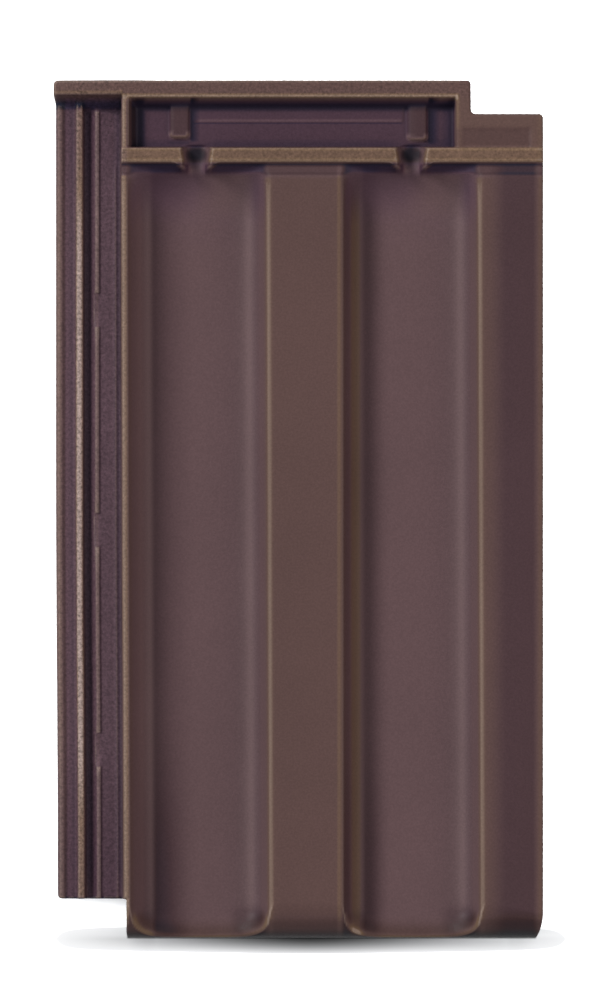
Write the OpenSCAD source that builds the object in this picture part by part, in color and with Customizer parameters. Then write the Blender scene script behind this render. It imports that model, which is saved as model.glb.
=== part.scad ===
// Interlocking clay roof tile with two troughs, pressed and fired as one piece.
// It lies face up. X runs across the roof slope, +Y runs up to the head, +Z points out of the roof.
// The origin is in the middle of the footprint, on the level that the nibs and foot ribs stand on.

/* [Overall] */
// length from head to foot
tile_l = 477; // [420:1:560]
// width that one laid tile covers
cover_w = 235; // [215:1:260]
// open joint between the cover roll and the next tile
joint_gap = 0.9; // [0.5:0.1:2]

/* [Trough section] */
// width of a trough between the flat ridge tops
trough_w = 79.4; // [74:0.2:86]
// depth of a trough below the ridge tops
trough_depth = 18; // [14:0.5:20]
// slope of the trough walls
wall_angle = 69; // [60:1:74]
// hollow rounding between trough floor and wall
floor_fillet = 10; // [6:0.5:12]
// rounding from wall to ridge top
edge_round = 2.8; // [2:0.1:5]
// thickness of the shell
shell_t = 12; // [10:0.5:14]
// distance from the outer face of the body to a first trough with equal walls
lip_w = 3.7; // [3.4:0.1:5]
// how much further left the flatter left wall of the first trough starts
lip_lean = 2; // [0:0.1:2.4]
// rounding of the lip beside the side lock
lip_round = 1.4; // [0.8:0.1:1.6]
// rounding of the free edge of the cover roll
roll_round = 1.5; // [0.5:0.1:2.5]

/* [Side lock] */
// width of the side lock
lock_w = 36.8; // [34:0.2:42]
// depth of the outer water groove below the ridge tops
outer_groove_d = 13; // [12:0.5:16]
// rise of the outer rim above the outer groove
outer_rim_h = 1.5; // [1:0.1:2.5]
// width of the outer rim
outer_rim_w = 3.8; // [3.6:0.1:5]
// rounding of the outer rim towards the free edge
outer_rim_r = 2.6; // [1.5:0.1:2.8]
// rise of the main rib above the outer groove
main_rib_h = 3.5; // [2:0.1:3.6]
// width of the main rib at its top
main_rib_w = 2.8; // [2:0.1:3.4]
// depth of the main groove below the outer groove
main_groove_d = 3; // [2:0.1:5]
// width of the floor of the main groove
main_groove_w = 3; // [2.6:0.1:4]
// run of the slope from the main groove up to the thin rib
groove_run = 3.4; // [1:0.1:4]
// width of the thin rib at its top
thin_rib_w = 2.2; // [1.6:0.1:2.6]
// rise of the thin rib above the outer groove
thin_rib_h = 0.7; // [0.5:0.1:2]
// depth of the inner groove below the outer groove
inner_groove_d = 0.5; // [0:0.1:1.5]
// rise of the drip bead above the inner groove
bead_h = 0.6; // [0.3:0.1:1]
// length of each plain gap in the thin rib
rib_gap_l = 18.4; // [10:0.2:30]
// distance from one plain gap to the next
rib_gap_pitch = 122.3; // [100:0.5:140]
// free space between a cover rib and the groove that takes it
lock_clear = 1; // [0.6:0.1:1.6]
// thickness of the cover ribs
cover_rib_w = 2.4; // [2:0.1:2.8]

/* [Head lock] */
// length of the head rim
rim_l = 9.5; // [7:0.5:12]
// overhang of the rim past the side lock
rim_over = 1.2; // [0:0.1:3]
// fall of the rim over the width of the side lock
rim_fall = 5; // [0:0.5:7]
// length of the head-lock channel
channel_l = 27.8; // [24:0.2:34]
// depth of the channel below the ridge tops
channel_d = 9; // [7:0.5:10]
// rise of the shelf on the rim side of the channel floor
channel_step = 0.6; // [0.3:0.1:1.5]
// run of the sloping channel wall below the rim
channel_run = 5.5; // [3:0.1:7]
// run of the sloping left wall of the channel
channel_side_run = 3.6; // [2:0.1:5]
// length of the cross rib at its top
rib_l = 7.8; // [6:0.2:12]
// rise of the cross rib above the ridge tops
rib_rise = 1; // [0.5:0.1:3]
// run of the sloping foot-side face of the cross rib
rib_run = 6.6; // [4:0.2:8]
// rise of the trough floor towards the cross rib
ramp_h = 9.5; // [7:0.1:10]
// length over which the trough floor rises
ramp_l = 26; // [20:0.5:40]
// length of the shallow band below the cross rib
band_l = 7.5; // [5:0.5:12]
// depth of the shallow band and panel
band_d = 1.5; // [0.5:0.1:2.5]
// width of a drain notch at the top of the cross rib
notch_top_w = 17.4; // [15:0.2:24]
// width of a drain notch at its floor
notch_floor_w = 11.4; // [8:0.2:14]
// fall of the floor of a drain notch towards the trough
notch_fall = 0.5; // [0:0.1:1]
// width of a lug in the channel
lug_w = 11.6; // [8:0.2:14]
// length of a lug
lug_l = 23; // [14:0.5:24]
// rise of a lug above the channel floor
lug_h = 2.4; // [1.4:0.2:4]

/* [Corners and nose] */
// length of the cut-out at the right head corner
head_cut_l = 18.7; // [16:0.1:24]
// length of the cut-out at the left foot corner
foot_cut_l = 21.9; // [21:0.1:30]
// inset of the left edge at the foot
foot_in = 2.4; // [0.5:0.1:2.8]
// rounding of the nose at the foot
nose_r = 21; // [16:0.5:21]
// rounding of the outer corners in plan
corner_r = 2.4; // [1:0.1:4]

/* [Underside] */
// height of the hanging nibs and foot ribs below the troughs
nib_h = 12; // [8:0.5:20]
// width of a hanging nib at its tip
nib_w = 36; // [24:1:48]
// thickness of a hanging nib
nib_t = 14; // [10:0.5:18]
// distance of the batten face of the nibs from the head
nib_face = 24; // [22:0.5:30]
// thickness of the front wall at the foot
front_t = 12; // [10:0.5:14]
// thickness of the foot ribs
foot_rib_t = 8; // [6:0.5:12]

/* [Hidden] */
tile_brown = [0.37, 0.29, 0.28];
eps = 0.01;

// positions across the tile
overall_w = rim_over + lock_w + cover_w - joint_gap;
left_x = -overall_w / 2;
lock_x = left_x + rim_over;
body_x = lock_x + lock_w;
right_x = overall_w / 2;
trough_half = trough_w / 2;
trough_1 = body_x + lip_w + trough_half;
trough_2 = trough_1 + cover_w / 2;

// positions along the tile
head_y = tile_l / 2;
foot_y = -tile_l / 2;
channel_y = head_y - rim_l;
rib_y = channel_y - channel_l;
rib_foot_y = rib_y - rib_l;
lock_foot_y = foot_y + foot_cut_l;
head_cut_y = head_y - head_cut_l;

// levels, counted from the ridge tops
shell_base = -trough_depth - shell_t;
rest_z = shell_base - nib_h;
head_base = -channel_d - shell_t;
front_base = -nose_r - 6;
groove_z = -outer_groove_d;
main_groove_z = groove_z - main_groove_d;
inner_groove_z = groove_z - inner_groove_d;
outer_rim_z = groove_z + outer_rim_h;
main_rib_z = groove_z + main_rib_h;
roll_base = main_rib_z + lock_clear;
roll_wall_z = outer_rim_z - outer_rim_r + 0.3;

// trough floor half width that the roundings and walls leave over
wall_run = (trough_depth - (floor_fillet + edge_round) * (1 - cos(wall_angle))) / tan(wall_angle);
floor_half = trough_half - (floor_fillet + edge_round) * sin(wall_angle) - wall_run;
hollow_half = trough_half + (shell_t - edge_round) * tan(wall_angle / 2);

// slope of the left wall of the first trough, from its longer run between the same two roundings
lean_run = trough_half + lip_lean - floor_half;
lean_drop = trough_depth - floor_fillet - edge_round;
lean_angle = atan2(lean_drop, lean_run) + asin((floor_fillet + edge_round) / norm([lean_run, lean_drop]));

// side-lock places, counted from the outer face of the lock
main_rib_c = outer_rim_w + 9.1;
main_groove_x = main_rib_c + main_rib_w / 2 + 0.9;
thin_rib_c = main_groove_x + main_groove_w + groove_run + thin_rib_w / 2;
bead_c = lock_w - 3.5;
inner_groove_c = (thin_rib_c + thin_rib_w / 2 + bead_c) / 2;

// the next tile lies one cover width further right, so its lock sets the underside of the cover roll
next_lock = lock_x + cover_w;
roll_wall_x = next_lock - lock_clear;
cover_rib_1 = next_lock + main_groove_x + main_groove_w / 2 + 0.5;
cover_rib_2 = next_lock + inner_groove_c;
edge_rib_x = right_x - 3.2;
cover_tip_1 = main_groove_z + lock_clear;
cover_tip_2 = inner_groove_z + lock_clear;

// right end of the head rim and of the channel
rim_right_x = roll_wall_x - rim_over - 2;
channel_right_x = rim_right_x - 8.3;
channel_left_x = body_x + 4.2;

function arc(c, r, a0, a1, n = 6) = [for (i = [0:n]) let (a = a0 + (a1 - a0) * i / n) c + r * [cos(a), sin(a)]];

// top line of one trough, from left ridge to right ridge, with its left wall set out and sloped as given
function trough(c, lean, slope) = concat(
    arc([c - trough_half - lean, -edge_round], edge_round, 90, 90 - slope),
    arc([c - floor_half, floor_fillet - trough_depth], floor_fillet, 270 - slope, 270, 8),
    arc([c + floor_half, floor_fillet - trough_depth], floor_fillet, 270, 270 + wall_angle, 8),
    arc([c + trough_half, -edge_round], edge_round, 90 + wall_angle, 90)
);

// top line of the body from its left lip to the free edge of the cover roll
function body_top() = concat(
    arc([body_x + lip_round, -lip_round], lip_round, 180, 95, 4),
    trough(trough_1, lip_lean, lean_angle),
    trough(trough_2, 0, wall_angle),
    arc([right_x - roll_round, -roll_round], roll_round, 90, 0, 4)
);

// rib hanging from the roof of the cover roll, drawn from right to left
function cover_rib(c, tip) = [
    [c + cover_rib_w / 2 + 0.5, roll_base],
    [c + cover_rib_w / 2, tip],
    [c - cover_rib_w / 2, tip],
    [c - cover_rib_w / 2 - 0.5, roll_base]
];

// underside of the cover roll, from its free edge to the wall of the second trough
function roll_under() = concat(
    [[right_x, cover_tip_2], [edge_rib_x, cover_tip_2], [edge_rib_x - 0.5, roll_base]],
    cover_rib(cover_rib_2, cover_tip_2),
    cover_rib(cover_rib_1, cover_tip_1),
    [[next_lock + outer_rim_w + 4, roll_base], [next_lock + outer_rim_w + 1, outer_rim_z + lock_clear]],
    [[roll_wall_x + outer_rim_r + 0.3, outer_rim_z + lock_clear], [roll_wall_x, roll_wall_z]]
);

// underside of the troughs, following the top line at the thickness of the shell
function shell_under() = concat(
    [[roll_wall_x, shell_base + 3], [roll_wall_x - 3, shell_base]],
    arc([trough_2 - floor_half, floor_fillet - trough_depth], floor_fillet + shell_t, 270, 270 - wall_angle, 6),
    [[trough_2 - hollow_half, -shell_t], [trough_1 + hollow_half, -shell_t]],
    arc([trough_1 + floor_half, floor_fillet - trough_depth], floor_fillet + shell_t, 270 + wall_angle, 270, 6),
    [[body_x, shell_base]]
);

// rib of the side lock with bevelled shoulders, from left foot to right foot
function lock_rib(c, w, top, left_z, right_z, left_run, right_run, bevel) = [
    [c - w / 2 - left_run, left_z],
    [c - w / 2, top - bevel],
    [c - w / 2 + bevel, top],
    [c + w / 2 - bevel, top],
    [c + w / 2, top - bevel],
    [c + w / 2 + right_run, right_z]
];

// sets a cross-section drawn in X and Z along the tile between two Y places
module along_y(from_y, to_y) {
    translate([0, to_y, 0])
        rotate([90, 0, 0])
            linear_extrude(height = to_y - from_y)
                children();
}

// sets a side profile drawn in Y and Z across the tile between two X places
module along_x(from_x, to_x) {
    translate([from_x, 0, 0])
        rotate([90, 0, 90])
            linear_extrude(height = to_x - from_x)
                children();
}

module block(from, to) {
    translate(from)
        cube(to - from);
}

// troughs, middle ridge and cover roll
module body_run() {
    along_y(foot_y, rib_y)
        polygon(concat(body_top(), roll_under(), shell_under()));
}

// cover roll where it runs on beside the head lock
module roll_head() {
    along_y(rib_foot_y, head_y)
        polygon(concat(
            [[roll_wall_x - eps, 0]],
            arc([right_x - roll_round, -roll_round], roll_round, 90, 0, 4),
            roll_under(),
            [[roll_wall_x - eps, roll_wall_z]]
        ));
}

// solid head with the channel sunk into it, the low shelf along the rim and two sloping channel walls
module head_block() {
    difference() {
        block([body_x, rib_foot_y, head_base], [roll_wall_x, head_y, 0]);
        block([channel_left_x, rib_y, -channel_d], [channel_right_x, channel_y, eps]);
    }
    block([trough_1 - 3.4, channel_y - channel_l * 0.49, -channel_d - 1],
          [trough_2 - 4.7, channel_y + 1, channel_step - channel_d]);
    along_x(channel_left_x - 1, channel_right_x + 1)
        polygon([
            [channel_y + 1, -channel_d - 0.5],
            [channel_y + 1, -1],
            [channel_y, -1],
            [channel_y - channel_run, -channel_d - 0.5]
        ]);
    along_y(rib_y - 1, channel_y + 1)
        polygon([
            [channel_left_x - 1, -channel_d - 0.5],
            [channel_left_x - 1, -1],
            [channel_left_x, -1],
            [channel_left_x + channel_side_run, -channel_d - 0.5]
        ]);
}

// front wall that closes the hollows behind the nose
module front_wall() {
    along_y(foot_y, foot_y + front_t)
        polygon(concat(body_top(), [[right_x, front_base], [body_x, front_base]]));
}

// shallow band on the ridge tops below the cross rib, and the panel beside the channel
module shallow_sinks() {
    block([body_x - eps, rib_foot_y - band_l, -band_d], [right_x - 3, rib_foot_y, eps]);
    block([channel_right_x + 3.1, rib_y - eps, -band_d], [right_x - 6.5, rib_y + 11, eps]);
}

// sloping foot-side face of the cross rib between two X places, solid down to a base level
module rib_skirt(from_x, to_x, base) {
    along_x(from_x, to_x)
        polygon([
            [rib_y, base],
            [rib_y, -eps],
            [rib_foot_y - 0.4, -eps],
            [rib_foot_y - 0.4 + (rib_run - 0.4) * base / (trough_depth - ramp_h), base]
        ]);
}

// trough floor rising in a hollow curve to the sloping face of the cross rib, between two X places
module head_ramp(from_x, to_x) {
    start_y = rib_foot_y - rib_run;
    curve_r = (ramp_l * ramp_l + ramp_h * ramp_h) / (2 * ramp_h);
    curve_a = asin(ramp_l / curve_r);
    along_x(from_x, to_x)
        polygon(concat(
            [[rib_y - 1, -trough_depth - 2], [rib_y - 1, ramp_h - trough_depth - 0.1]],
            arc([start_y - ramp_l, curve_r - trough_depth - 0.1], curve_r, 270 + curve_a, 270, 10),
            [[start_y - ramp_l, -trough_depth - 2]]
        ));
}

// rib across the head that stops driven water, sloping down into the troughs
module cross_rib() {
    along_x(body_x, right_x)
        polygon([
            [rib_y, -roll_round],
            [rib_y, rib_rise - 0.8],
            [rib_y - 0.8, rib_rise],
            [rib_foot_y + 0.6, rib_rise],
            [rib_foot_y - 0.2, rib_rise - 0.6],
            [rib_foot_y - 0.4, -roll_round]
        ]);
    rib_skirt(body_x, trough_1 + trough_half, -trough_depth - 1);
    rib_skirt(trough_2 - trough_half, roll_wall_x - 2.5, -trough_depth - 1);
    rib_skirt(roll_wall_x - 2.6, roll_wall_x + 2, outer_rim_z + lock_clear + 1);
}

// drain notch through the cross rib with sloping sides, its floor falling towards the trough
module drain_notch(c) {
    notch_h = channel_d + rib_rise;
    top_h = notch_h + notch_fall + 4;
    half = notch_floor_w / 2;
    top_half = half + (notch_top_w - notch_floor_w) / 2 * top_h / notch_h;
    slope = atan2(notch_fall, rib_l + rib_run + 2);
    // set back so that the leaning end of the cut lies in the channel up to the top of the rib
    back = max(0, (notch_h * tan(slope) - 1.5) * cos(slope) * cos(slope));
    translate([c, rib_y + 2 + back, back * tan(slope) - channel_d])
        rotate([90 + slope, 0, 0])
            linear_extrude(height = rib_l + rib_run + 6 + back)
                polygon([[-half, 0], [half, 0], [top_half, top_h], [-top_half, top_h]]);
}

// lug that stiffens the rim, joined to it at the head end
module lug(c) {
    block([c - lug_w / 2, channel_y - lug_l, -channel_d - 1], [c + lug_w / 2, channel_y + 1, lug_h - channel_d]);
}

// side lock with its outer rim, ribs, grooves and drip bead
module side_lock() {
    rim_r = outer_rim_w - outer_rim_r;
    rim_c = outer_rim_r;
    difference() {
        translate([lock_x, 0, 0])
            along_y(lock_foot_y, head_y)
                polygon(concat(
                    [[0, shell_base]],
                    arc([rim_c, outer_rim_z - outer_rim_r], outer_rim_r, 180, 90, 6),
                    arc([rim_c, outer_rim_z - rim_r], rim_r, 80, 0, 6),
                    [[outer_rim_w + 0.4, groove_z]],
                    lock_rib(main_rib_c, main_rib_w, main_rib_z, groove_z, main_groove_z, 0.9, 0.9, 0.6),
                    lock_rib(thin_rib_c, thin_rib_w, groove_z + thin_rib_h, main_groove_z, inner_groove_z, groove_run, 0.7, 0.4),
                    lock_rib(bead_c, 1, inner_groove_z + bead_h, inner_groove_z, inner_groove_z, 0.8, 0.6, 0.2),
                    [[lock_w + 1, inner_groove_z], [lock_w + 1, shell_base]]
                ));
        for (i = [-1:1])
            block([lock_x + main_groove_x + main_groove_w, i * rib_gap_pitch - rib_gap_l / 2 - 11.4, inner_groove_z],
                  [lock_x + thin_rib_c + thin_rib_w / 2 + 1, i * rib_gap_pitch + rib_gap_l / 2 - 11.4, 0]);
        block([lock_x + bead_c - 2, rib_foot_y - 2, inner_groove_z], [lock_x + bead_c + 2, head_y + 1, 0]);
    }
}

// head rim over the side lock, falling a little towards its free end
module lock_rim() {
    difference() {
        along_x(left_x, body_x + 1)
            polygon([
                [head_y, head_base],
                [head_y, 0],
                [head_y - rim_l + 1.9, 0],
                [head_y - rim_l - 1, groove_z + 4],
                [head_y - rim_l - 6, groove_z - 1],
                [head_y - rim_l - 6, head_base]
            ]);
        along_y(head_y - rim_l - 7, head_y + 1)
            polygon([
                [left_x - 1, -rim_fall - rim_fall / lock_w],
                [body_x, 0],
                [body_x + 2, 0],
                [body_x + 2, 2],
                [left_x - 1, 2]
            ]);
    }
}

// hanging nib that hooks over the batten
module nib(c) {
    along_y(head_y - nib_face, head_y - nib_face + nib_t)
        polygon([
            [c - nib_w / 2 - 4, head_base + 1],
            [c - nib_w / 2, rest_z],
            [c + nib_w / 2, rest_z],
            [c + nib_w / 2 + 4, head_base + 1]
        ]);
}

// foot rib that rests on the tile below
module foot_rib(c) {
    along_y(foot_y + 6, foot_y + 6 + foot_rib_t)
        polygon([
            [c - floor_half - 2, shell_base + 1],
            [c - floor_half + 4, rest_z],
            [c + floor_half - 4, rest_z],
            [c + floor_half + 2, shell_base + 1]
        ]);
}

// rounding of the nose over the whole width
module nose_cut() {
    difference() {
        block([left_x - 1, foot_y - 1, -nose_r], [right_x + 1, foot_y + nose_r, 5]);
        translate([left_x - 2, foot_y + nose_r, -nose_r])
            rotate([0, 90, 0])
                cylinder(h = overall_w + 4, r = nose_r, $fn = 128);
    }
}

// outline seen from above, with its two corner cut-outs and rounded corners
module plan() {
    r = corner_r;
    sweep_l = 14.5;
    sweep_w = 3.7;
    sweep_r = (sweep_l * sweep_l + sweep_w * sweep_w) / (2 * sweep_w);
    sweep_a = asin(sweep_l / sweep_r);
    foot_x = body_x + foot_in;
    translate([0, 0, rest_z - 1])
        linear_extrude(height = rib_rise - rest_z + 2)
            polygon(concat(
                arc([foot_x + r, foot_y + r], r, 180, 270, 4),
                arc([right_x - sweep_r, foot_y + sweep_l], sweep_r, -sweep_a, 0, 6),
                arc([right_x - r, head_cut_y - r], r, 0, 90, 4),
                arc([rim_right_x + r, head_cut_y + r], r, 270, 180, 4),
                arc([rim_right_x - r, head_y - r], r, 0, 90, 4),
                arc([left_x + r, head_y - r], r, 90, 180, 4),
                [[left_x, channel_y + 1.5], [lock_x, channel_y - 5.5]],
                arc([lock_x + r, lock_foot_y + r], r, 180, 270, 4),
                [[foot_x, lock_foot_y]]
            ));
}

module roof_tile() {
    color(tile_brown)
        translate([0, 0, -rest_z])
            intersection() {
                plan();
                difference() {
                    union() {
                        difference() {
                            union() {
                                body_run();
                                roll_head();
                                head_block();
                                front_wall();
                            }
                            shallow_sinks();
                        }
                        cross_rib();
                        head_ramp(trough_1 - trough_half + 1, trough_1 + trough_half - 1);
                        head_ramp(trough_2 - trough_half + 1, roll_wall_x - 1);
                        lug(trough_1 - 11.4);
                        lug(trough_2 + 3.3);
                        side_lock();
                        lock_rim();
                        nib(trough_1);
                        nib(trough_2);
                        foot_rib(trough_1);
                        foot_rib(trough_2);
                    }
                    nose_cut();
                    drain_notch(trough_1 - 2);
                    drain_notch(trough_2);
                }
            }
}

roof_tile();
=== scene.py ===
"""Interlocking clay roof tile, face up on a pale floor, seen from straight above.

The tile is one closed mesh. Its face and its underside are height functions over one grid that is cut
to the outline in plan, so every rib, groove, rim, notch and nose is real geometry with rounded edges.
Sizes are in millimetres here and are turned into metres when the mesh is made.
"""

import math

import bpy
import numpy as np
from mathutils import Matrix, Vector


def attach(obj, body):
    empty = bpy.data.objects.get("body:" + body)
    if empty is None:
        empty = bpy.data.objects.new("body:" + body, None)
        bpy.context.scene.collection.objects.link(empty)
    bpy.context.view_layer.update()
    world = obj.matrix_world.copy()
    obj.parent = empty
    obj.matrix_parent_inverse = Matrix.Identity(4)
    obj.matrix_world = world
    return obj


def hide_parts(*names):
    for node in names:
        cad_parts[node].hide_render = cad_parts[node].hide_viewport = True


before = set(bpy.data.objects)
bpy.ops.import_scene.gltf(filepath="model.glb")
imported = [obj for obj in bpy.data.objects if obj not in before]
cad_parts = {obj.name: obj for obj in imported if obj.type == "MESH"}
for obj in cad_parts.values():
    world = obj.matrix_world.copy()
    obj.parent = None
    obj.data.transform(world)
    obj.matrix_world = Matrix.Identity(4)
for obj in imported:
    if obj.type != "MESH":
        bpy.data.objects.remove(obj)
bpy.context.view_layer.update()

MM = 0.001
scene = bpy.context.scene

# Overall sizes of the tile
TILE_L = 477.0
COVER_W = 235.0
JOINT_GAP = 0.9
LOCK_W = 36.8
RIM_OVER = 1.2
TROUGH_W = 79.4
TROUGH_DEPTH = 18.0
WALL_ANGLE = math.radians(69.0)
FLOOR_FILLET = 10.0
EDGE_ROUND = 2.8
RIGHT_EDGE_ROUND = 3.8
SHELL_T = 12.0
LIP_W = 3.7
LIP_LEAN = 2.0
LOCK_CLEAR = 1.0
OUTER_RIM_W = 3.8
OUTER_RIM_R = 2.6
NIB_H = 12.0

# Places across the tile
OVERALL_W = RIM_OVER + LOCK_W + COVER_W - JOINT_GAP
LEFT_X = -OVERALL_W / 2
RIGHT_X = OVERALL_W / 2
LOCK_X = LEFT_X + RIM_OVER
BODY_X = LOCK_X + LOCK_W
TROUGH_HALF = TROUGH_W / 2
TROUGH_1 = BODY_X + LIP_W + TROUGH_HALF
TROUGH_2 = TROUGH_1 + COVER_W / 2
NEXT_LOCK = LOCK_X + COVER_W
ROLL_WALL_X = NEXT_LOCK - LOCK_CLEAR
RIM_GAP = 2.0
RIM_RIGHT_X = ROLL_WALL_X - RIM_OVER - RIM_GAP
CHANNEL_INSET_R = 8.3
CHANNEL_RIGHT_X = RIM_RIGHT_X - CHANNEL_INSET_R
CHANNEL_INSET_L = 4.2
CHANNEL_LEFT_X = BODY_X + CHANNEL_INSET_L
TROUGHS = (TROUGH_1, TROUGH_2)
EDGE_2_X = TROUGH_2 - TROUGH_HALF

# Places along the tile
HEAD_Y = TILE_L / 2
FOOT_Y = -TILE_L / 2
RIM_L = 9.5
CHANNEL_L = 27.8
RIB_L = 7.8
RIB_RUN = 6.6
BAND_L = 7.5
RAMP_H = 9.5
RAMP_L = 26.0
CHANNEL_Y = HEAD_Y - RIM_L
RIB_Y = CHANNEL_Y - CHANNEL_L
RIB_FOOT_Y = RIB_Y - RIB_L
HEAD_CUT_L = 18.7
HEAD_CUT_Y = HEAD_Y - HEAD_CUT_L
LOCK_CUT_L = 21.9
LOCK_FOOT_Y = FOOT_Y + LOCK_CUT_L
NOSE_R = 21.0
LOCK_SET = 1.05
SHELF_Y = CHANNEL_Y - 0.49 * CHANNEL_L

# Levels, counted from the ridge tops
SHELL_BASE = -TROUGH_DEPTH - SHELL_T
REST_Z = SHELL_BASE - NIB_H
CHANNEL_D = 9.0
HEAD_BASE = -CHANNEL_D - SHELL_T
FRONT_BASE = -NOSE_R - 6.0
RIB_RISE = 1.0
BAND_D = 0.8
RAMP_TOP = RAMP_H - TROUGH_DEPTH
GROOVE_Z = -13.0
OUTER_RIM_Z = GROOVE_Z + 1.5
MAIN_RIB_Z = GROOVE_Z + 3.5
MAIN_GROOVE_Z = GROOVE_Z - 3.0
INNER_GROOVE_Z = GROOVE_Z - 0.5
ROLL_BASE = MAIN_RIB_Z + LOCK_CLEAR


def rounded(points, radii, steps=7):
    """The line through points with each inner corner rounded to its radius, as two arrays."""
    out = [np.array(points[0], float)]
    for before, corner, after, radius in zip(points[:-2], points[1:-1], points[2:], radii):
        p, c, q = (np.array(v, float) for v in (before, corner, after))
        a = (p - c) / np.linalg.norm(p - c)
        b = (q - c) / np.linalg.norm(q - c)
        half = math.acos(float(np.clip(a @ b, -1.0, 1.0))) / 2
        if radius <= 0 or half > math.pi / 2 - 1e-4:
            out.append(c)
            continue
        cut = radius / math.tan(half)
        room = 0.49 * min(np.linalg.norm(p - c), np.linalg.norm(q - c))
        if cut > room:
            cut = room
            radius = cut * math.tan(half)
        middle = c + (a + b) / np.linalg.norm(a + b) * (radius / math.sin(half))
        start, end = c + a * cut - middle, c + b * cut - middle
        turn = math.atan2(start[0] * end[1] - start[1] * end[0], float(start @ end))
        for i in range(steps + 1):
            t = turn * i / steps
            spin = np.array([[math.cos(t), -math.sin(t)], [math.sin(t), math.cos(t)]])
            out.append(middle + spin @ start)
    out.append(np.array(points[-1], float))
    line = np.array(out)
    order = np.maximum.accumulate(line[:, 0])
    return order + np.arange(len(order)) * 1e-9, line[:, 1]


def profile(points, radii):
    """A height function of one place, from a line with rounded corners."""
    xs, zs = rounded(points, radii)
    return lambda t: np.interp(t, xs, zs)


def soft_min(a, b, k):
    """The lower of two heights, with the edge between them rounded over about k."""
    h = np.clip(1.0 - np.abs(a - b) / k, 0.0, 1.0)
    return np.minimum(a, b) - h * h * k / 4


def soft_max(a, b, k):
    """The higher of two heights, with a hollow rounding over about k between them."""
    return -soft_min(-a, -b, k)


def ramp(t, start, end):
    """0 before start, 1 after end, with an even ease between."""
    s = np.clip((t - start) / (end - start), 0.0, 1.0)
    return s * s * (3 - 2 * s)


def between(t, a0, a1, b0, b1):
    """1 between a1 and b0, easing to 0 at a0 and b1."""
    return ramp(t, a0, a1) * (1 - ramp(t, b0, b1))


def bell(t, middle, width):
    """1 at the middle, falling off evenly to both sides."""
    return np.exp(-(((t - middle) / width) ** 2))


def box_distance(x, y, x0, x1, y0, y1, r):
    """Distance to a rectangle with rounded corners in plan, negative inside."""
    qx = np.abs(x - (x0 + x1) / 2) - (x1 - x0) / 2 + r
    qy = np.abs(y - (y0 + y1) / 2) - (y1 - y0) / 2 + r
    outside = np.hypot(np.maximum(qx, 0), np.maximum(qy, 0))
    return outside + np.minimum(np.maximum(qx, qy), 0) - r


# Face of the tile, across
WALL_TAN_HALF = math.tan(WALL_ANGLE / 2)
TOP_CORNER = TROUGH_HALF - EDGE_ROUND * WALL_TAN_HALF
WALL_RUN = TROUGH_DEPTH / math.tan(WALL_ANGLE)
FLOOR_CORNER = TOP_CORNER - WALL_RUN
FLOOR_HALF_W = FLOOR_CORNER - FLOOR_FILLET * WALL_TAN_HALF
LEAN_RUN = TROUGH_HALF + LIP_LEAN - FLOOR_HALF_W
LEAN_DROP = TROUGH_DEPTH - FLOOR_FILLET - EDGE_ROUND
LEAN_TURN = math.asin((FLOOR_FILLET + EDGE_ROUND) / math.hypot(LEAN_RUN, LEAN_DROP))
LEAN_ANGLE = math.atan2(LEAN_DROP, LEAN_RUN) + LEAN_TURN
LOCK_LINE = [
    (-8.0, OUTER_RIM_Z - 9.0, 0.0),
    (1.6, OUTER_RIM_Z, 2.6),
    (3.0, OUTER_RIM_Z, 1.2),
    (5.2, GROOVE_Z, 1.4),
    (10.3, GROOVE_Z, 1.3),
    (11.6, MAIN_RIB_Z, 1.5),
    (14.8, MAIN_RIB_Z, 1.3),
    (15.7, MAIN_GROOVE_Z - 0.6, 1.2),
    (18.5, MAIN_GROOVE_Z - 0.6, 2.4),
]
PLAIN_LINE = [(21.3, INNER_GROOVE_Z, 1.2)]
THIN_RIB_LINE = [
    (22.3, INNER_GROOVE_Z + 1.2, 1.0),
    (23.8, INNER_GROOVE_Z + 1.2, 0.8),
    (24.7, INNER_GROOVE_Z, 0.8),
]
BEAD_LINE = [
    (31.6, INNER_GROOVE_Z, 0.8),
    (33.1, INNER_GROOVE_Z + 0.4, 0.6),
    (33.5, INNER_GROOVE_Z + 0.4, 0.6),
    (34.4, INNER_GROOVE_Z, 0.8),
]
LIP_LINE = [
    (LOCK_W - 0.7, INNER_GROOVE_Z, 0.9),
    (LOCK_W + 0.15, 0.0, 1.4),
]


def trough_line(c, lean, slope):
    """Face line of one trough; its left wall starts further left by lean and has its own slope."""
    turn = math.tan(slope / 2)
    return [
        (c - TROUGH_HALF - lean + EDGE_ROUND * turn - LOCK_X, 0.0, EDGE_ROUND),
        (c - FLOOR_HALF_W - FLOOR_FILLET * turn - LOCK_X, -TROUGH_DEPTH, FLOOR_FILLET),
        (c + FLOOR_CORNER - LOCK_X, -TROUGH_DEPTH, FLOOR_FILLET),
        (c + TOP_CORNER - LOCK_X, 0.0, RIGHT_EDGE_ROUND),
    ]


def across(lock_rows):
    """Face line across the whole tile with the given rows in its side lock."""
    rows = LOCK_LINE + lock_rows + LIP_LINE
    rows = rows + trough_line(TROUGH_1, LIP_LEAN, LEAN_ANGLE) + trough_line(TROUGH_2, 0.0, WALL_ANGLE)
    rows = rows + [(RIGHT_X + 8.0 - LOCK_X, 0.0, 0.0)]
    return profile([(x + LOCK_X, z) for x, z, r in rows], [r for x, z, r in rows[1:-1]])


face_plain = across(PLAIN_LINE)
face_with_rib = across(THIN_RIB_LINE)
face_with_bead = across(PLAIN_LINE + BEAD_LINE)
BEAD_HEAD_Y = 190.0
CROWN_X = TROUGH_2 + TROUGH_HALF + 3.0
CROWN_DROP = 1.4
RIB_GAPS = (110.9, -11.4, -133.7)
RIB_GAP_HALF = 9.2
RIB_GAP_EASE = 0.7

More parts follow.
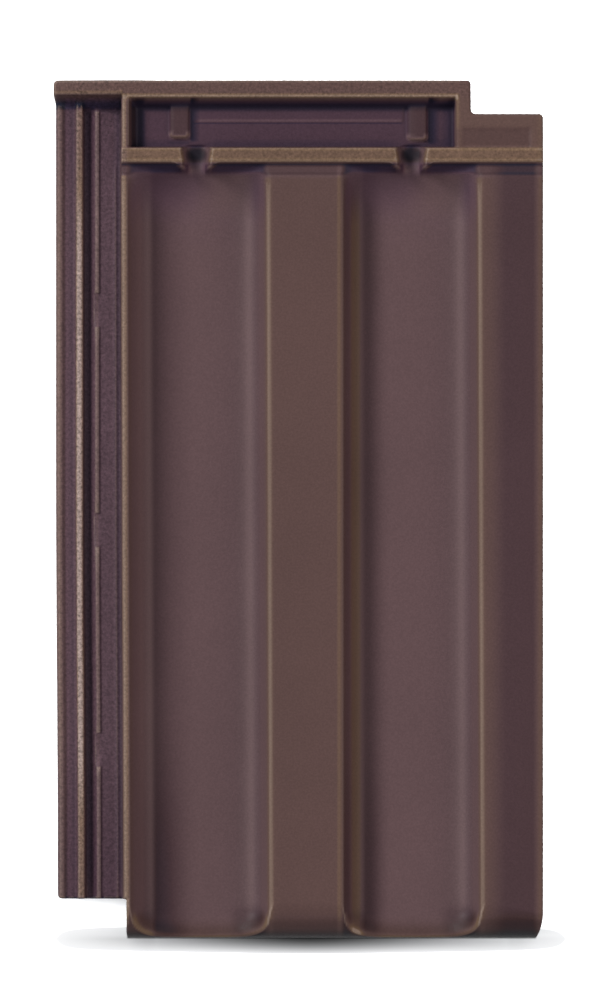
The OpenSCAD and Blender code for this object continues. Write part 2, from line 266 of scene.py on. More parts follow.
LUG_H = 2.4
LUG_HALF = 6.3
rim_wall = profile([(-60, 0.0), (-0.4, 0.0), (5.6, -9.0), (60, -90.6)], [1.6, 0.0])
left_wall = profile([(-60, 0.0), (-0.3, 0.0), (3.7, -9.0), (60, -135.7)], [1.4, 0.0])
right_wall = profile([(-60, 0.0), (-0.2, 0.0), (1.3, -9.0), (30, -181.2)], [1.2, 0.0])
lug_wall = profile([(-60, LUG_H), (-1.6, LUG_H), (0.5, -2.0), (60, -2.0)], [1.4, 0.6])
RIB_FALL = (RIB_RISE - RAMP_TOP) / (RIB_RUN - 0.1)
rib_line = profile(
    [
        (-60, -60),
        (-0.9, -14),
        (0.1, RIB_RISE),
        (RIB_L + 0.1, RIB_RISE),
        (RIB_L + 40.1, RIB_RISE - 40 * RIB_FALL),
        (90, -90),
    ],
    [0.0, 1.2, 1.4, 0.0],
)
RAMP_R = (RAMP_L**2 + RAMP_H**2) / (2 * RAMP_H)
DISH_POWER = 2.5
BOWL_POWER = 3.0
BOWL_SHARE = 0.9
BOWL_L = 15.0
BOWL_EASE = 13.0
lock_rim_line = profile([(-60, 0.0), (RIM_L - 2.0, 0.0), (RIM_L + 5.4, -10.5), (60, -74.5)], [1.6, 0.0])
sink_wall = profile([(-60, -BAND_D), (-1.6, -BAND_D), (0.4, 0.0), (0.9, 0.0), (60, 60)], [1.4, 0.7, 0.0])
NOTCHES = (TROUGH_1 - 2.0, TROUGH_2)
NOTCH_TOP_HALF = 8.7
NOTCH_FLOOR_HALF = 5.7
SPOUT_IN = 2.2
SPOUT_OUT = 3.2
notch_wall = profile(
    [
        (-60, 0.0),
        (NOTCH_FLOOR_HALF, 0.0),
        (NOTCH_TOP_HALF, CHANNEL_D + RIB_RISE),
        (NOTCH_TOP_HALF + 30, 110),
    ],
    [4.5, 0.0],
)
LUGS = (TROUGH_1 - 11.4, TROUGH_2 + 3.3)
LUG_ENDS = (205.4, 204.0)
LUG_CORNER_R = 3.2
PANEL_LEFT_X = CHANNEL_RIGHT_X + 3.1
PANEL_RIGHT_X = RIGHT_X - 6.5
PANEL_TOP_Y = RIB_Y + 11
PANEL_R = 1.4


def lug_distance(x, y, c, end):
    """Distance to the outline of a lug in plan, negative inside."""
    return box_distance(x, y, c - LUG_HALF, c + LUG_HALF, end, CHANNEL_Y + 4, LUG_CORNER_R)


def lock_set(y):
    """How far firing set the side lock to the right at y."""
    return LOCK_SET * ramp(-y, -20.0, 200.0)


def warped(x, y):
    """Place in the drawn section that lies at x, since firing set the lower half a little to the right."""
    body = 0.004 * (60.0 - np.clip(y, -215.0, 185.0))
    calm = 1 - 0.9 * bell(x, EDGE_2_X, 22.0)
    share = ramp(x, BODY_X - 14.0, BODY_X + 10.0)
    return x - lock_set(y) * (1 - share) - body * calm * share


def nose_line(y):
    """Height of the rounded nose at the foot, far above the face elsewhere."""
    back = np.clip(FOOT_Y + NOSE_R - y, 0.0, NOSE_R)
    nose = np.sqrt(np.maximum(NOSE_R * NOSE_R - back * back, 0.0)) - NOSE_R
    nose = np.where(y < FOOT_Y, -NOSE_R - 40.0 * (FOOT_Y - y), nose)
    return np.where(back > 0.0, nose, 60.0)


def body_face(x, y):
    """Height of the face of the tile before its nose and outline are rounded."""
    keep = np.ones_like(y)
    u = RIB_Y - y
    drawn = warped(x, y)
    for gap in RIB_GAPS:
        keep = keep * ramp(np.abs(y - gap), RIB_GAP_HALF - RIB_GAP_EASE, RIB_GAP_HALF + RIB_GAP_EASE)
    keep = keep * (1 - ramp(y, CHANNEL_Y - 8.5, CHANNEL_Y - 6.0))
    plain = face_plain(drawn)
    bead = 1 - ramp(y, BEAD_HEAD_Y - 6, BEAD_HEAD_Y + 6)
    z = plain + (face_with_rib(drawn) - plain) * keep + (face_with_bead(drawn) - plain) * bead
    crown = np.clip((x - CROWN_X) / (RIGHT_X - CROWN_X), 0.0, 1.0)
    z = z - CROWN_DROP * crown**1.6 * (1 - ramp(y, 150.0, 186.0))

    # troughs rising to a shallow dish at the cross rib
    run = np.clip(RIB_L + RIB_RUN + RAMP_L - u, 0.0, RAMP_L)
    rise = (RAMP_R - np.sqrt(RAMP_R**2 - run**2)) / RAMP_H
    for c, lean in ((TROUGH_1, LIP_LEAN), (TROUGH_2, 0.0)):
        reach = np.abs(drawn - c) / np.where(drawn < c, TROUGH_HALF + lean, TROUGH_HALF)
        dish = RAMP_TOP * (1 - np.clip(reach, 0.0, 1.0) ** DISH_POWER)
        z = np.where(reach < 1.0, z + (dish - z) * rise, z)
        bowl = -TROUGH_DEPTH * (1 - np.clip(reach, 0.0, 1.0) ** BOWL_POWER)
        bowl_share = BOWL_SHARE * ramp(FOOT_Y + BOWL_L - y, 0.0, BOWL_EASE)
        z = np.where(reach < 1.0, z + (bowl - z) * bowl_share, z)

    # shallow band below the cross rib
    band = box_distance(x, y, BODY_X - 9, RIGHT_X - 3.0, RIB_FOOT_Y - BAND_L, RIB_FOOT_Y + 9, 0.6)
    z = soft_min(z, sink_wall(band), 0.3)

    # solid head, with the channel, its lugs and the panel beside it
    head = np.where(y > RIB_Y - 2.0, 0.0, -60.0)
    step = box_distance(x, y, LUGS[0] + 8, LUGS[1] - 8, SHELF_Y, HEAD_Y, 1.0)
    pocket = 0.6 * (1 - ramp(step, -0.4, 0.7)) - CHANNEL_D
    pocket = soft_max(pocket, rim_wall(CHANNEL_Y - y), 2.0)
    pocket = soft_max(pocket, left_wall(x - CHANNEL_LEFT_X), 1.6)
    pocket = soft_max(pocket, right_wall(CHANNEL_RIGHT_X - x), 1.6)
    head = np.minimum(head, pocket)
    for c, end in zip(LUGS, LUG_ENDS):
        head = soft_max(head, lug_wall(lug_distance(x, y, c, end)) - CHANNEL_D, 1.0)
    panel = box_distance(x, y, PANEL_LEFT_X, PANEL_RIGHT_X, RIB_Y - 4, PANEL_TOP_Y, PANEL_R)
    head = soft_min(head, sink_wall(panel), 0.3)
    on_body = x > BODY_X + 2.0
    z = np.where(on_body & (y > RIB_Y - 2.0), head, z)

    # lip beside the channel and rim over the side lock
    lip = face_plain(x)
    z = np.where((x <= BODY_X + 2.0) & (x > BODY_X - 2.0) & (y > RIB_Y - 2.0), lip, z)
    fall = 5.0 * np.clip((BODY_X + 2.0 - x) / (LOCK_W + 2.0), 0.0, 1.1) ** 1.5
    rim = lock_rim_line(HEAD_Y - y) - fall
    z = np.where(x < BODY_X + 2.0, soft_max(z, rim, 0.02 + 1.2 * ramp(BODY_X - x, 0.4, 2.4)), z)

    # cross rib with its drain notches
    narrow = SPOUT_IN * np.clip(u / (RIB_L + RIB_RUN), 0.0, 1.0)
    border = np.zeros_like(u)
    for c in NOTCHES:
        border = border + SPOUT_OUT * bell(np.abs(x - c) + narrow, NOTCH_TOP_HALF + 0.6, 3.0)
    rib = rib_line(u - border * between(u, 0.0, RIB_L, RIB_L + 2.5, RIB_L + 8.0))
    rib = np.where(x > BODY_X - 0.3, rib, -60.0)
    z = soft_max(z, rib, 1.0 + 1.5 * ramp(u, RIB_L, RIB_L + 4.0))
    spout = -CHANNEL_D - 0.5 * np.clip((u + 2.0) / (RIB_L + RIB_RUN + 2.0), 0.0, 1.0)
    spout = spout + 6.0 * (1 - ramp(u, -3.0, -0.5))
    for c in NOTCHES:
        cut = notch_wall(np.abs(x - c) + narrow) + spout
        z = np.where((u > -4.0) & (u < 18.0), soft_min(z, cut, 3.4), z)
    return z


def face(x, y):
    """Height of the face of the tile with its nose, without the rounding of its outline."""
    z = body_face(x, y)
    return soft_min(z, nose_line(y), 0.01 + 5.0 * ramp(-z, 1.0, 9.0))


# Underside of the tile, across
HOLLOW_HALF = TROUGH_HALF + (SHELL_T - EDGE_ROUND) * WALL_TAN_HALF
UNDER_CORNER = FLOOR_HALF_W + (FLOOR_FILLET + SHELL_T) * WALL_TAN_HALF
COVER_1 = NEXT_LOCK + 17.2
COVER_2 = NEXT_LOCK + 28.55
EDGE_RIB_X = RIGHT_X - 3.2
ROLL_WALL_Z = OUTER_RIM_Z - OUTER_RIM_R + 0.3
RIM_ROOF_Z = OUTER_RIM_Z + LOCK_CLEAR
COVER_TIP_1 = MAIN_GROOVE_Z + LOCK_CLEAR
COVER_TIP_2 = INNER_GROOVE_Z + LOCK_CLEAR
COVER_ROOT_HALF = 1.7
COVER_TIP_HALF = 1.2


def cover_rib(c, tip, root_r):
    """Rows of one rib under the cover roll, with its own rounding at the root."""
    return [
        (c - COVER_ROOT_HALF, ROLL_BASE, root_r),
        (c - COVER_TIP_HALF, tip, 0.8),
        (c + COVER_TIP_HALF, tip, 0.8),
        (c + COVER_ROOT_HALF, ROLL_BASE, root_r),
    ]


UNDER_ROWS = [
    (LEFT_X - 8, SHELL_BASE, 0.0),
    (TROUGH_1 + UNDER_CORNER, SHELL_BASE, FLOOR_FILLET + SHELL_T),
    (TROUGH_1 + HOLLOW_HALF, -SHELL_T, 2.5),
    (TROUGH_2 - HOLLOW_HALF, -SHELL_T, 2.5),
    (TROUGH_2 - UNDER_CORNER, SHELL_BASE, FLOOR_FILLET + SHELL_T),
    (ROLL_WALL_X - 0.9, SHELL_BASE, 2.5),
    (ROLL_WALL_X + 0.2, ROLL_WALL_Z, 0.8),
    (ROLL_WALL_X + OUTER_RIM_R + 0.3, RIM_ROOF_Z, 0.8),
    (NEXT_LOCK + OUTER_RIM_W + 1.0, RIM_ROOF_Z, 1.0),
    (NEXT_LOCK + OUTER_RIM_W + 4.0, ROLL_BASE, 1.0),
    *cover_rib(COVER_1, COVER_TIP_1, 1.0),
    *cover_rib(COVER_2, COVER_TIP_2, 0.8),
    (EDGE_RIB_X - 0.5, ROLL_BASE, 0.8),
    (EDGE_RIB_X, COVER_TIP_2, 0.8),
    (RIGHT_X + 8, COVER_TIP_2, 0.0),
]
under_line = profile([(x, z) for x, z, r in UNDER_ROWS], [r for x, z, r in UNDER_ROWS[1:-1]])
bar_wall = profile([(-60, 0.0), (-0.8, 0.0), (0.6, 24.0), (60, 60)], [1.2, 0.0])
FRONT_T = 12.0
NIB_FACE = 24.0
NIB_T = 14.0
NIB_HALF = 18.0
FOOT_RIB_T = 8.0
FOOT_RIB_HALF = FLOOR_HALF_W - 4.0


def bar_below(x, y, c, half, flare, y0, y1, top):
    """Underside of a tapered bar that hangs down to the rest plane."""
    z = REST_Z + bar_wall(np.maximum(y0 - y, y - y1))
    side = (np.abs(x - c) - half) * (top - REST_Z) / flare
    return soft_max(z, REST_Z + np.maximum(side, 0.0), 0.8)


def under(x, y):
    """Height of the underside, without the rounding of its outline."""
    section = under_line(x)
    z = section
    roll = x > ROLL_WALL_X + 0.3
    head = HEAD_BASE + 14.0 * (1 - ramp(y, RIB_FOOT_Y - 0.8, RIB_FOOT_Y + 0.8))
    lift = (HEAD_BASE - SHELL_BASE) * ramp(y, RIB_Y - 0.8, RIB_Y + 0.8)
    z = np.where(roll, z, np.minimum(z + lift * (z < HEAD_BASE), head))
    z = np.where((x < BODY_X + 1.0), section, z)
    z = np.where(x < LOCK_X - 0.2, HEAD_BASE, z)
    front = FRONT_BASE + 24.0 * ramp(y, FOOT_Y + FRONT_T - 0.8, FOOT_Y + FRONT_T + 0.8)
    z = np.where(x > BODY_X, np.minimum(z, front), z)
    for c in TROUGHS:
        nib = bar_below(x, y, c, NIB_HALF, 4.0, HEAD_Y - NIB_FACE, HEAD_Y - NIB_FACE + NIB_T, HEAD_BASE)
        foot = bar_below(x, y, c, FOOT_RIB_HALF, 6.0, FOOT_Y + 6, FOOT_Y + 6 + FOOT_RIB_T, SHELL_BASE)
        z = np.minimum(z, np.minimum(nib, foot))
    return z


def corner_arc(cx, cy, r, a0, a1, n=8):
    """Points on an arc in plan, angles in degrees."""
    angles = np.radians(np.linspace(a0, a1, n + 1))
    return [(cx + r * math.cos(a), cy + r * math.sin(a)) for a in angles]


# Outline in plan, counter-clockwise, with the two corner cut-outs
CORNER_R = 2.4
SWEEP_L = 14.5
SWEEP_W = 3.7
SWEEP_R = (SWEEP_L**2 + SWEEP_W**2) / (2 * SWEEP_W)
SWEEP_A = math.degrees(math.asin(SWEEP_L / SWEEP_R))
FOOT_X = BODY_X + 2.5
outline = np.array(
    corner_arc(FOOT_X + CORNER_R, FOOT_Y + CORNER_R, CORNER_R, 180, 270)
    + corner_arc(RIGHT_X - SWEEP_R, FOOT_Y + SWEEP_L, SWEEP_R, -SWEEP_A, 0, 10)
    + corner_arc(RIGHT_X - CORNER_R, HEAD_CUT_Y - CORNER_R, CORNER_R, 0, 90)
    + corner_arc(RIM_RIGHT_X + CORNER_R, HEAD_CUT_Y + CORNER_R, CORNER_R, 270, 180)
    + corner_arc(RIM_RIGHT_X - CORNER_R, HEAD_Y - CORNER_R, CORNER_R, 0, 90)
    + corner_arc(LEFT_X + CORNER_R, HEAD_Y - CORNER_R, CORNER_R, 90, 180)
    + [(LEFT_X + RIM_OVER * (1 - math.cos(math.pi * k / 8)) / 2, HEAD_Y - 7 - k) for k in range(9)]
    + [(LOCK_X + float(lock_set(t)), t) for t in np.linspace(10.0, -200.0, 9)]
    + corner_arc(LOCK_X + LOCK_SET + CORNER_R, LOCK_FOOT_Y + CORNER_R, CORNER_R, 180, 270)
    + [(FOOT_X, LOCK_FOOT_Y)]
)


def outline_depth(x, y):
    """Distance from a point to the outline in plan, positive inside."""
    best = np.full(x.shape, 1e9)
    inside = np.zeros(x.shape, bool)
    for (ax, ay), (bx, by) in zip(outline, np.roll(outline, -1, axis=0)):
        ex, ey = bx - ax, by - ay
        t = np.clip(((x - ax) * ex + (y - ay) * ey) / (ex * ex + ey * ey), 0.0, 1.0)
        best = np.minimum(best, np.hypot(x - ax - t * ex, y - ay - t * ey))
        crosses = (ay > y) != (by > y)
        if ey != 0:
            inside ^= crosses & (x < ax + (y - ay) * ex / ey)
    return np.where(inside, best, -best)


def edge_drop(depth, r):
    """How far a rounded free edge falls away at a depth inside the outline."""
    gap = np.clip(r - depth, 0.0, r)
    return r - np.sqrt(np.maximum(r * r - gap * gap, 0.0))


TOP_EDGE_R = 1.5
LOW_EDGE_R = 1.0


def face_z(x, y, depth):
    """Height of the finished face at a depth inside the outline."""
    return face(x, y) - edge_drop(depth, TOP_EDGE_R)


def under_z(x, y, depth):
    """Height of the finished underside at a depth inside the outline."""
    return under(x, y) + edge_drop(depth, LOW_EDGE_R)


def lines(spans, near, exact, fine, reach):
    """Grid lines: even steps in each span, fine ones close to the near places, and the exact places."""
    values = [np.array(exact)]
    for start, end, step in spans:
        values.append(np.linspace(start, end, max(2, int(round((end - start) / step)) + 1)))
    offsets = np.arange(-reach, reach + 1e-6, fine)
    for place in near:
        values.append(place + offsets)
    low, high = spans[0][0], spans[-1][1]
    merged = np.unique(np.clip(np.concatenate(values), low, high).round(4))
    kept = [merged[0]]
    for v in merged[1:]:
        if v - kept[-1] >= fine * 0.62:
            kept.append(v)
    kept[-1] = high
    return np.array(kept)


def both_sides(centres, halves):
    """Places at each half width left and right of each centre."""
    return [c + side * half for c in centres for side in (-1, 1) for half in halves]


GRID_FINE = 0.6
GRID_REACH = 1.2
x_lines = lines(
    [
        (LEFT_X, BODY_X + 6, 0.55),
        (BODY_X + 6, TROUGH_1 - 20, 1.0),
        (TROUGH_1 - 20, TROUGH_1 + 20, 4.0),
        (TROUGH_1 + 20, TROUGH_1 + TROUGH_HALF + 2, 0.95),
        (TROUGH_1 + TROUGH_HALF + 2, TROUGH_2 - TROUGH_HALF - 2, 4.0),
        (TROUGH_2 - TROUGH_HALF - 2, TROUGH_2 - 20, 0.95),
        (TROUGH_2 - 20, TROUGH_2 + 20, 4.0),
        (TROUGH_2 + 20, TROUGH_2 + TROUGH_HALF + 2, 0.95),
        (TROUGH_2 + TROUGH_HALF + 2, RIGHT_X - 4, 2.4),
        (RIGHT_X - 4, RIGHT_X, 0.4),
    ],
    both_sides(LUGS, (LUG_HALF,))
    + both_sides(NOTCHES, (NOTCH_FLOOR_HALF, NOTCH_TOP_HALF, NOTCH_TOP_HALF + 2.4))
    + [CHANNEL_LEFT_X, CHANNEL_RIGHT_X, RIM_RIGHT_X, ROLL_WALL_X, BODY_X],
    both_sides((COVER_1, COVER_2), (0.5, 0.95, 1.4, 1.9))
    + [EDGE_RIB_X - 0.8, EDGE_RIB_X - 0.3, EDGE_RIB_X + 0.2],
    GRID_FINE,
    GRID_REACH,
)
y_lines = lines(
    [
        (FOOT_Y, FOOT_Y + 4, 0.45),
        (FOOT_Y + 4, FOOT_Y + NOSE_R + 3, 0.7),
        (FOOT_Y + NOSE_R + 3, RIB_FOOT_Y - 36, 16.0),
        (RIB_FOOT_Y - 36, RIB_FOOT_Y - BAND_L - 3, 1.6),
        (RIB_FOOT_Y - BAND_L - 3, HEAD_Y - 3, 0.8),
        (HEAD_Y - 3, HEAD_Y, 0.45),
    ],
    [LOCK_FOOT_Y, HEAD_CUT_Y, CHANNEL_Y, RIB_Y, RIB_FOOT_Y],
    both_sides(RIB_GAPS, (RIB_GAP_HALF - RIB_GAP_EASE, RIB_GAP_HALF, RIB_GAP_HALF + RIB_GAP_EASE)),
    GRID_FINE,
    GRID_REACH,
)


def build_tile():
    """The tile as vertex places, faces and the place in plan of each vertex of the face."""
    gx, gy = np.meshgrid(x_lines, y_lines)
    depth = outline_depth(gx, gy)
    depth = np.where(np.abs(depth) < 0.06, 0.0, depth)
    rows, cols = gx.shape
    plan = []
    number = {}

    def corner(i, j):
        key = (i, j)
        if key not in number:
            number[key] = len(plan)
            plan.append((gx[i, j], gy[i, j], max(depth[i, j], 0.0)))
        return number[key]

    def crossing(a, b):
        key = (min(a, b), max(a, b))
        if key not in number:
            da, db = depth[key[0]], depth[key[1]]
            t = da / (da - db)
            px = gx[key[0]] + (gx[key[1]] - gx[key[0]]) * t
            py = gy[key[0]] + (gy[key[1]] - gy[key[0]]) * t
            number[key] = len(plan)
            plan.append((px, py, 0.0))
        return number[key]

    faces = []
    for i in range(rows - 1):
        for j in range(cols - 1):
            ring = [(i, j), (i, j + 1), (i + 1, j + 1), (i + 1, j)]
            signs = [depth[c] >= 0 for c in ring]
            if not any(signs) or all(depth[c] <= 0 for c in ring):
                continue
            loop = []
            for k in range(4):
                a, b = ring[k], ring[(k + 1) % 4]
                if signs[k]:
                    loop.append(corner(*a))
                if signs[k] != signs[(k + 1) % 4] and depth[a] != 0 and depth[b] != 0:
                    loop.append(crossing(a, b))
            if len(loop) >= 3:
                faces.append(loop)
    plan = np.array(plan)
    x, y, d = plan.T
    top = np.column_stack([x, y, face_z(x, y, d)])
    low = np.column_stack([x, y, under_z(x, y, d)])
    count = len(plan)
    edges = {}
    for loop in faces:
        for a, b in zip(loop, loop[1:] + loop[:1]):
            if (b, a) in edges:
                del edges[(b, a)]
            else:
                edges[(a, b)] = True
    polygons = [tuple(loop) for loop in faces]
    polygons += [tuple(count + v for v in reversed(loop)) for loop in faces]
    polygons += [(b, a, count + a, count + b) for a, b in edges]
    points = np.vstack([top, low])
    points[:, 2] -= REST_Z
    return points * MM, polygons, plan


def relief(plan):
    """How far each point of the face stands above its near and wider surroundings, from -1 to 1."""
    x, y, d = plan.T
    here = face_z(x, y, d)
    found = []
    for reach, scale in ((1.1, 0.35), (5.0, 2.5)):
        total = np.zeros(len(x))
        for k in range(12):
            a = 2 * math.pi * k / 12
            px, py = x + reach * math.cos(a), y + reach * math.sin(a)
            inside = outline_depth(px, py)
            there = face_z(px, py, np.maximum(inside, 0.0))
            there = np.where(inside < 0, here - 2.5, there)
            total += np.clip(here - there, -3.0 * scale, 3.0 * scale)
        found.append(np.tanh(total / 12 / scale))
    return found


def body_share(x):
    """1 on the body of the tile, 0 on the side lock."""
    return ramp(x, BODY_X - 0.8, BODY_X + 0.3)


def foot_share(y):
    """0 in the upper part of the tile, 1 towards the foot."""
    return ramp(-y, 110.0, 208.0)


def nose_share(y):
    """0 above the nose, 1 on it."""
    return ramp(FOOT_Y + 17.0 - y, 0.0, 7.0)


def roll_top(x, past_rib):
    """1 on the top of the cover roll below the cross rib."""
    return between(x, CROWN_X - 1, CROWN_X + 11, RIGHT_X - 6, RIGHT_X - 2) * ramp(past_rib, 0.5, 4.0)


def lug_top(y, z, low):
    """1 on top of the lugs, 0 where the face is below low, counted from their top."""
    return ramp(z - LUG_H + CHANNEL_D, low, -0.4) * ramp(CHANNEL_Y - y, 4.0, 6.0)


def slip_and_painted_light(plan):
    """Tone of the face, -2 in dark hollows, 0 on the floors, 1.5 on the palest edges: the engobe's own
    tone and wear, with painted shade and painted highlights.
    """
    x, y, d = plan.T
    z = face_z(x, y, d)
    u = RIB_Y - y
    t = HEAD_Y - y
    drawn = warped(x, y)
    lock = drawn - LOCK_X
    past_rib = u - RIB_L
    past_band = past_rib - BAND_L
    past_rim = t - RIM_L
    from_left = x - CHANNEL_LEFT_X
    from_right = x - CHANNEL_RIGHT_X
    from_edge = drawn - EDGE_2_X
    on_head = ramp(y, RIB_Y - 0.5, RIB_Y + 0.5)
    in_body = body_share(x)
    on_lock = 1 - in_body
    near_foot = foot_share(y)
    tone = np.zeros(len(x))

    # cover roll darker than the ridge, with an olive free edge
    below_rib = ramp(past_rib, 0.5, 4.0)
    tone -= 0.85 * roll_top(x, past_rib)
    tone += 0.22 * ramp(x, RIGHT_X - 5, RIGHT_X - 1)

    # beside the left walls of the troughs, darker towards the foot: a purple strip on the left trough's
    # floor, partly its own colour and partly painted shade; on the right trough painted shade at the
    # wall's top and on the floor below it, a painted highlight on its fillet and a pale top edge
    strip_1 = between(drawn - BODY_X, 14.5, 18.5, 21.0, 42.0)
    tone -= (0.6 + 0.6 * near_foot) * strip_1 * ramp(past_rib, 0, 8)
    tone -= (0.45 + 0.4 * near_foot) * between(from_edge, 1.0, 2.4, 4.0, 8.0) * below_rib
    tone -= (0.4 + 0.4 * near_foot) * between(from_edge, 11.5, 14.0, 17.0, 26.0) * below_rib
    tone += 0.65 * between(from_edge, 4.5, 7.5, 10.0, 12.0) * ramp(past_rib, 10, 40)
    tone += 0.5 * between(from_edge, -2.2, -0.8, 0.2, 1.2) * below_rib

    # painted highlight on the lit edges of the ridge and the roll
    for c in TROUGHS:
        tone += 0.45 * bell(drawn, c + TROUGH_HALF - 1.4, 1.7) * ramp(past_band, 0, 3)

    # side lock, darker overall, with pale ribs, bead, outer rim and lip (the main rib and lip worn and
    # with a painted highlight where they face the key); painted shade on the slope beyond the main groove,
    # at the foot of the outer rim and on the lock's end at the foot
    below_rim = ramp(past_rim, 4.0, 7.0) * on_lock
    tone -= (0.2 + 0.45 * ramp(y, 150.0, 225.0) + 0.5 * near_foot) * on_lock
    main_rib = between(lock, 11.0, 11.8, 14.6, 15.3) * ramp(z - MAIN_RIB_Z, -1.6, -0.5) * below_rim
    tone += (1.9 - 0.5 * near_foot - 0.8 * ramp(y, 110.0, 215.0)) * main_rib
    tone += 0.4 * between(lock, 15.6, 17.0, 18.6, 19.6) * below_rim
    tone -= 0.4 * between(lock, 19.0, 19.8, 20.8, 21.6) * below_rim
    tone += 0.45 * between(lock, 21.6, 22.2, 23.4, 24.0) * below_rim
    tone -= 0.5 * between(lock, 3.8, 4.4, 5.0, 5.8) * below_rim
    tone += 0.5 * between(lock, 32.2, 32.8, 33.8, 34.4) * below_rim
    tone += 0.5 * (1 - ramp(lock, 2.0, 4.2)) * below_rim
    tone -= 1.4 * (1 - ramp(y, LOCK_FOOT_Y + 0.3, LOCK_FOOT_Y + 1.8)) * on_lock
    lip = between(drawn - BODY_X, -0.6, 0.2, 2.2, 3.4) * ramp(z, -6, -1)
    lip = lip * (1 - between(u, -1.0, 0.5, RIB_L + BAND_L - 1.0, RIB_L + BAND_L + 1.0))
    tone += 1.05 * lip * ramp(past_rim, 1.0, 3.0)

    # head rim with a paler worn lower edge, and painted shade on its sloping face over the lock
    rim_edge = np.where(x > BODY_X, RIM_L, RIM_L - 2.0)
    rim = 1 - ramp(t, rim_edge - 0.3, rim_edge + 0.6)
    tone = tone * (1 - rim) + 0.05 * rim
    edge_end = rim_edge + 0.1 + 0.6 * in_body
    pale_edge = between(t, rim_edge - 2.3, rim_edge - 1.3, edge_end, edge_end + 0.8 + in_body)
    tone += (0.5 + 0.7 * in_body) * pale_edge * (1 - ramp(from_right, 0.5, 2.0))
    tone -= 1.5 * between(past_rim, -1.0, 4.5, 5.5, 7.5) * on_lock

    # channel: dark purple floor with painted shade under the rim, beside its left and right walls and
    # beside and below the lugs, and brown lugs with pale lower edges
    inside = ramp(from_left, 0.5, 2.5) * (1 - ramp(from_right, -1.5, -0.3)) * (1 - rim) * on_head
    lugs = lug_top(y, z, -1.0)
    tone -= (1.1 - 0.15 * lugs) * inside
    for c, end in zip(LUGS, LUG_ENDS):
        on_lug = 1 - ramp(np.abs(x - c), LUG_HALF - 1.6, LUG_HALF - 0.2)
        lug_edge = between(lug_distance(x, y, c, end), -3.4, -2.2, -0.6, 0.4)
        tone += 1.4 * lug_edge * (1 - ramp(y, end + 3.0, end + 6.0))
        beside = between(x - c - LUG_HALF, -0.4, 0.4, 2.2, 3.6)
        tone -= 1.5 * beside * ramp(y, end - 1.6, end + 0.4) * inside
        tone -= 0.25 * on_lug * between(y - end, -2.6, -1.8, -1.0, -0.4)
    tone -= 0.9 * between(x - BODY_X, 2.4, 3.4, 5.4, 7.4) * on_head * (1 - rim)
    # a pale edge along the small step of the shelf, with a line of painted shade below it
    shelf = between(x, LUGS[0] + 8, LUGS[0] + 9, LUGS[1] - 9, LUGS[1] - 8) * inside
    tone += 0.9 * shelf * between(y - SHELF_Y, -0.2, 0.2, 1.2, 2.0)
    tone -= 0.7 * shelf * between(y - SHELF_Y, -1.4, -0.9, -0.5, -0.1)
    shade = between(past_rim, 1.8, 4.6, 5.4, 8.8)
    left_shade = between(from_left, 2.2, 4.5, 7.0, 10.0)
    right_shade = between(from_right, -6.0, -4.0, -1.5, -0.5)
    tone -= (0.9 * np.maximum(shade, left_shade) + 0.5 * right_shade) * inside * (1 - 0.6 * lugs)

    # flange and panel at the right of the channel
    flange = ramp(from_right, 0.0, 1.5) * on_head * (1 - rim)
    tone += 0.1 * flange
    beside_channel = between(from_right, -0.4, 0.3, 1.2, 2.4)
    tone += 0.5 * beside_channel * ramp(-u, 8.0, 14.0) * ramp(past_rim, -2.0, -1.0)
    panel = box_distance(x, y, PANEL_LEFT_X, PANEL_RIGHT_X, RIB_Y, PANEL_TOP_Y, PANEL_R)
    tone -= 0.45 * (1 - ramp(panel, -2.2, 0.4)) * flange

    # cross rib with pale top and edges; painted shade on its sloping face, in the notch holes and in lines
    # under it and at the band's foot; pale edges round the notches; the band below
    rib = between(u, -0.3, 0.3, RIB_L - 0.4, RIB_L + 0.8) * in_body
    tone += 0.6 * rib * ramp(z, -1.5, 0.5)
    tone += 0.45 * between(u, 0.3, 0.8, 1.4, 2.2) * ramp(z, -0.5, 0.5) * in_body
    tone += 0.5 * between(past_rib, -2.0, -1.0, 0.6, 1.8) * ramp(z, -3.0, 0.0) * in_body
    skirt = between(past_rib, 0.8, 2.4, RIB_RUN - 1.5, RIB_RUN + 1.0) * ramp(-z, 0.8, 2.6)
    tone -= 1.7 * skirt * in_body
    for c in NOTCHES:
        hole = 1 - ramp(np.hypot((x - c) / 6.2, (u - 3.7) / 5.6), 0.45, 1.15)
        tone -= 1.6 * hole
        away = np.abs(x - c) + SPOUT_IN * np.clip(u / (RIB_L + RIB_RUN), 0.0, 1.0)
        ears = between(away - NOTCH_TOP_HALF, -2.0, -0.4, 1.0, 2.6)
        tone += 0.3 * ears * between(u, 1.0, 3.0, RIB_L - 1.5, RIB_L)
        tone += 0.8 * ears * (between(past_rib, 0.6, 1.6, 3.6, 5.6) + skirt)
        spout_floor = 1 - ramp(np.abs(x - c) - NOTCH_FLOOR_HALF, -2, 0)
        tone += 1.9 * skirt * spout_floor * (1 - hole)
    high = ramp(z, -3.0, -1.5) * in_body
    tone -= 0.45 * between(past_rib, 0.8, 1.6, BAND_L - 0.6, BAND_L + 0.8) * high
    tone -= 1.3 * bell(past_rib, 1.7, 1.0) * high
    tone -= 0.5 * bell(past_band, -0.7, 0.9) * high
    tone -= 0.15 * between(past_band, 0, 1, 6, 24) * ramp(-z, 2.0, 6.0) * in_body
    # painted light on the right halves of the trough heads, which face the key
    for c in TROUGHS:
        right_half = ramp(drawn - c, -12.0, 14.0) * (1 - ramp(drawn - c, 24.0, 34.0))
        tone += 0.5 * right_half * between(past_rib, 6.0, 9.0, 17.0, 36.0)
